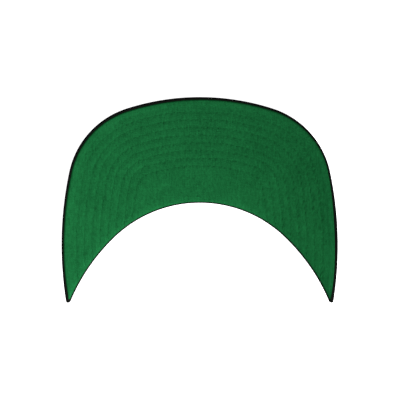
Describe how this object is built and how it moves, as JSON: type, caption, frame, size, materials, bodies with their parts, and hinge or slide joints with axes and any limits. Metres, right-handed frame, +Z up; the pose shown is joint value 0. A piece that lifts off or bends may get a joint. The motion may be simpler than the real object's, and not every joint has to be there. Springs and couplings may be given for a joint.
{
  "type": "cap peak",
  "caption": "Bowed crescent peak of a flat-brimmed cap, green stitched underside up, with a thin dark rim and an open head edge.",
  "frame": {"origin": "on the floor, under the middle of the peak's box, where its top cloth rests", "axes": "+Y towards the front rim, +X towards the right horn seen from above, +Z up, out of the green underside"},
  "size_m": [0.1824, 0.1368, 0.013],
  "materials": {
    "upper_cloth": "matte black cotton twill",
    "peak_board": "matte dark polyethylene board",
    "under_cloth": "matte green cotton twill"
  },
  "bodies": {
    "root": {"upper_cloth": "upper_cloth", "peak_board": "peak_board", "under_cloth": "under_cloth"}
  },
  "joints": []
}
